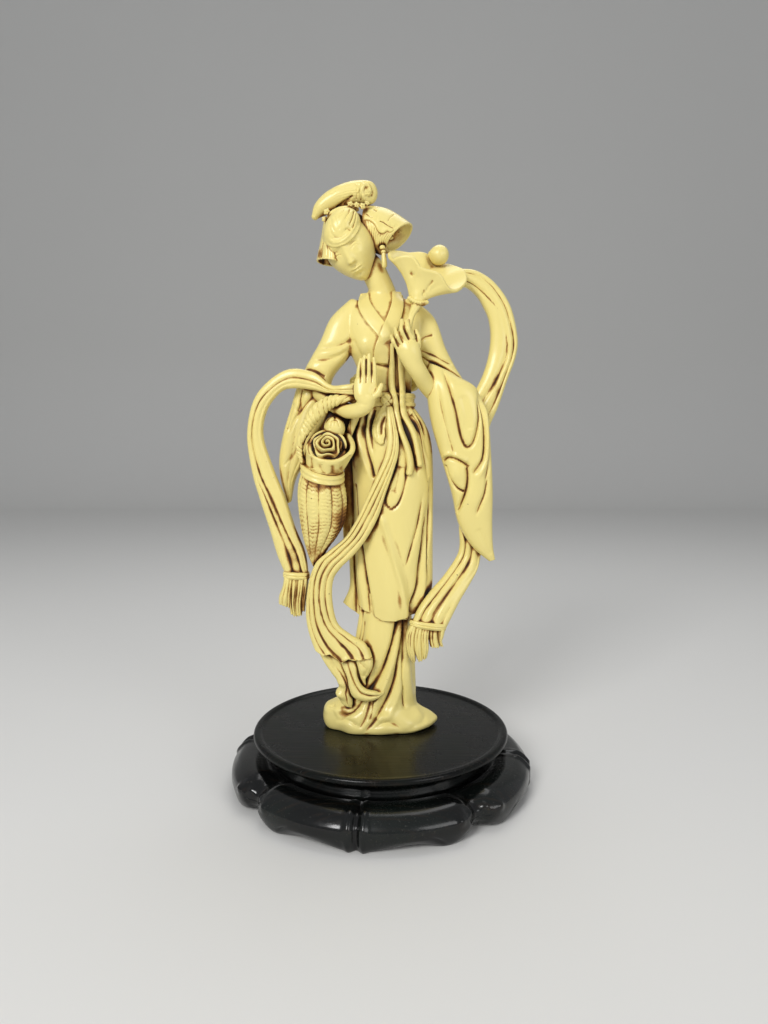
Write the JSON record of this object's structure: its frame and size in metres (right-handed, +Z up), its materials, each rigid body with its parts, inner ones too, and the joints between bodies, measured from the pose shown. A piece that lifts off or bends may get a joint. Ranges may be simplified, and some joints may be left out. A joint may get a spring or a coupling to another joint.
{
  "type": "figurine",
  "caption": "Cast figurine of a standing lady in a long robe with looping scarves, flower basket and trumpet flower, on a round turned and lobed stand.",
  "frame": {"origin": "middle of the plane that the stand's feet rest on", "axes": "+Z up along the stand's axis, -Y towards the front of the figure, +X to the right as seen from the front"},
  "size_m": [0.165, 0.165, 0.3237],
  "materials": {
    "resin": "cast resin, cream ivory tone, satin gloss, brown wash left in the creases",
    "lacquer": "black lacquer, glossy"
  },
  "bodies": {
    "root": {"stand_tray": "lacquer", "stand_waist": "lacquer", "stand_base": "lacquer", "head": "resin", "torso": "resin", "sash": "resin", "under_skirt": "resin", "over_skirt": "resin", "skirt_side_fold": "resin", "lapel_right": "resin", "lapel_left": "resin", "collar_nape": "resin", "hair_cap": "resin", "hair_front": "resin", "hair_wing_left": "resin", "hair_wing_right": "resin", "hair_roll": "resin", "hair_flowers_right": "resin", "hair_flower_left": "resin", "earring": "resin", "obi_bow": "resin", "hand_left": "resin", "hand_right": "resin", "upper_sleeve_left": "resin", "upper_sleeve_right": "resin", "hanging_sleeve_right": "resin", "hanging_sleeve_left": "resin", "sash_knot": "resin", "sash_bow": "resin", "cord_left": "resin", "cord_right": "resin", "flower_stem": "resin", "flower": "resin", "flower_bud": "resin", "scarf_right_loop": "resin", "scarf_right_tail": "resin", "scarf_right_tie": "resin", "scarf_right_tassel": "resin", "basket_body": "resin", "basket_collar": "resin", "basket_bowl": "resin", "rose": "resin", "tulip_bud": "resin", "basket_handle": "resin", "scarf_left_loop": "resin", "scarf_left_tie": "resin", "scarf_left_tassel": "resin", "scarf_front": "resin", "scarf_front_end": "resin"}
  },
  "joints": []
}
